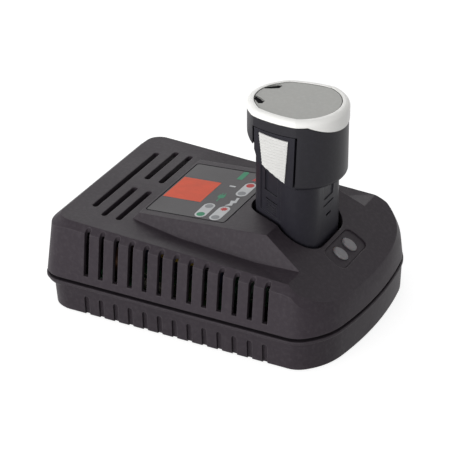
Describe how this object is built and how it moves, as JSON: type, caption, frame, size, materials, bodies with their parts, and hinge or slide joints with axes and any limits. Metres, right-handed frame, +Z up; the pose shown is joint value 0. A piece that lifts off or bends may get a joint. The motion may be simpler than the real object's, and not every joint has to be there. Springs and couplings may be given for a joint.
{
  "type": "power tool battery charger",
  "caption": "Desktop charger with louvred two-part housing, wedge console and front pocket that holds a stem-type battery with sprung side latches.",
  "frame": {"origin": "middle of the footprint on the surface it stands on", "axes": "+X towards the front with the lamps, +Y to the right side seen from behind, +Z up"},
  "size_m": [0.1564, 0.1116, 0.111],
  "materials": {
    "housing": "fine spark-eroded texture",
    "battery_black": "satin",
    "cap_white": "satin",
    "plate_grey": "satin print",
    "legend": "printed film",
    "lens": "translucent satin",
    "board": "solder mask",
    "ferrite": "sintered",
    "tape": "polyester tape",
    "sleeve": "heat-shrink sleeve",
    "aluminium": "extruded",
    "part_black": "moulded epoxy",
    "fuse_body": "glazed",
    "terminal": "moulded",
    "contact": "plated",
    "steel": "zinc plated",
    "rubber": "matt",
    "cell": "wrapped cell",
    "led": "moulded"
  },
  "bodies": {
    "charger": {"lower_shell": "housing", "upper_shell": "housing", "battery_well": "housing", "legend_plate": "legend", "contact_block": "part_black", "contact_blades": "contact", "lamp_bezel": "housing", "lamp_lenses": "lens", "lamp_board": "board", "lamp_leds": "led", "main_board": "board", "transformer_core": "ferrite", "transformer_winding": "tape", "transformer_base": "part_black", "capacitors": "sleeve", "heat_sink": "aluminium", "transistors": "part_black", "choke": "contact", "fuse": "fuse_body", "mains_terminal": "terminal", "cord_bush": "rubber", "rubber_feet": "rubber", "housing_screws": "steel", "board_screws": "steel", "lamp_screws": "steel"},
    "battery": {"battery_stem": "battery_black", "battery_collar": "battery_black", "battery_cap": "cap_white", "battery_plate": "plate_grey", "battery_cells": "cell", "cell_straps": "steel", "cell_carrier": "part_black", "battery_terminals": "contact", "battery_board": "board", "latch_pins": "steel", "latch_spring_near": "steel", "latch_spring_far": "steel"},
    "latch_near": {"latch_lever_near": "battery_black", "latch_pad_near": "cap_white"},
    "latch_far": {"latch_lever_far": "battery_black", "latch_pad_far": "cap_white"}
  },
  "joints": [
    {"name": "battery_lift", "type": "slide", "parent": "charger", "child": "battery", "axis": [0, 0, 1], "range_m": [0, 0.045]},
    {"name": "latch_near_press", "type": "hinge", "parent": "battery", "child": "latch_near", "pos_m": [0.0338, -0.0183, 0.1016], "axis": [1, 0, 0], "range_deg": [0, 2], "stiffness_Nm_per_rad": 0.3, "springref_deg": -8.59, "deforming": ["latch_spring_near"]},
    {"name": "latch_far_press", "type": "hinge", "parent": "battery", "child": "latch_far", "pos_m": [0.0338, 0.0183, 0.1016], "axis": [-1, 0, 0], "range_deg": [0, 2], "stiffness_Nm_per_rad": 0.3, "springref_deg": -8.59, "deforming": ["latch_spring_far"]}
  ]
}
